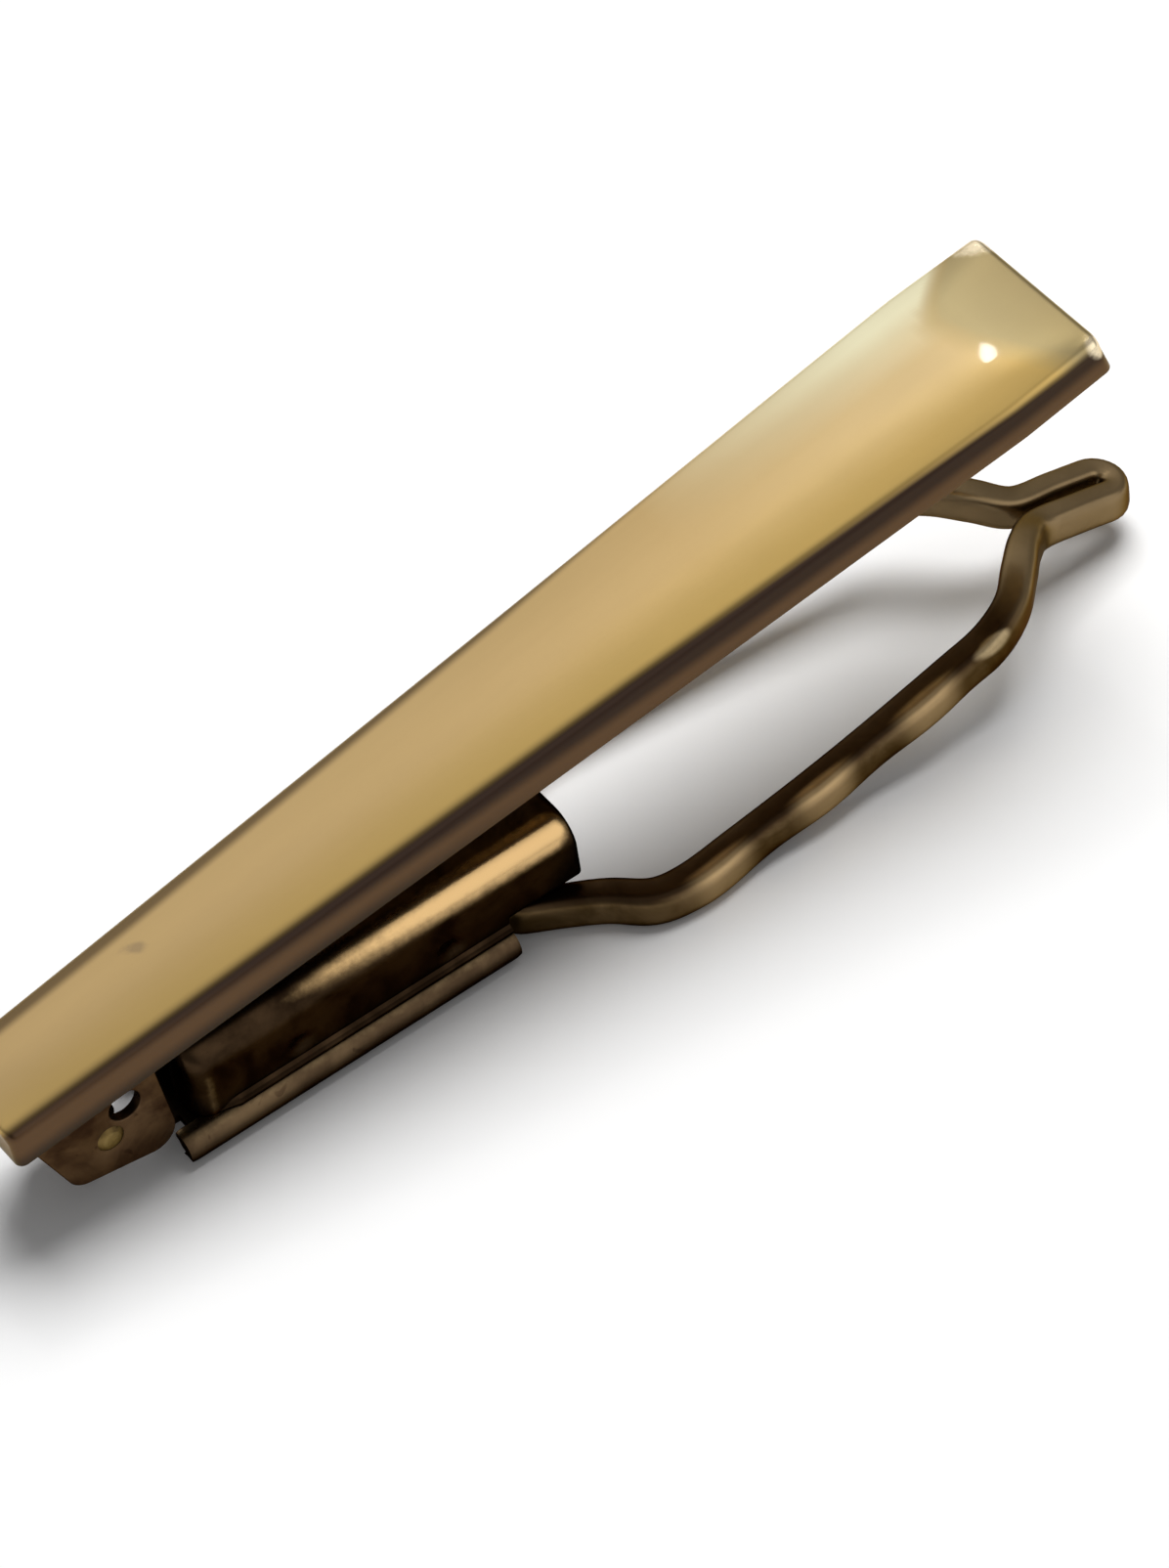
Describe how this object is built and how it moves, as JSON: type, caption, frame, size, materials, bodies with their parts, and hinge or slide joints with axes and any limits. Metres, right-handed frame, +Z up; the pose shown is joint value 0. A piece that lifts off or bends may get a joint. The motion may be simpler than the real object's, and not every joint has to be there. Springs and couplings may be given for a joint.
{
  "type": "tie clip",
  "caption": "Tapered pressed tie bar with a crowned face and a hinged wire jaw, held by a leaf spring, that clamps a tie against its back.",
  "frame": {"origin": "middle of the flat underside of the spring box, on which the clip lies", "axes": "+X along the clip from the hinge to the wide end, +Y along the hinge axis, +Z up from the resting face"},
  "size_m": [0.0486, 0.0102, 0.0135],
  "materials": {
    "face_gold": "satin, softly brushed, worn bright at the corners",
    "bracket_bronze": "aged, dark, satin",
    "pin_gold": "aged, satin",
    "tray_bronze": "aged, satin",
    "hood_bronze": "aged, polished on the rounded edges",
    "wire_bronze": "aged, worn bright on the shoulder",
    "spring_steel": "satin",
    "rivet_brass": "satin"
  },
  "bodies": {
    "lever": {"base_tray": "tray_bronze", "spring_hood": "hood_bronze", "jaw_wire": "wire_bronze", "leaf_spring": "spring_steel", "rivets": "rivet_brass"},
    "bar": {"face_bar": "face_gold", "hinge_bracket": "bracket_bronze", "pivot_pin": "pin_gold"}
  },
  "joints": [
    {"name": "bar_pivot", "type": "hinge", "parent": "lever", "child": "bar", "pos_m": [-0.0093, 0, 0.0031], "axis": [0, -1, 0], "range_deg": [-10.2, 30]}
  ]
}
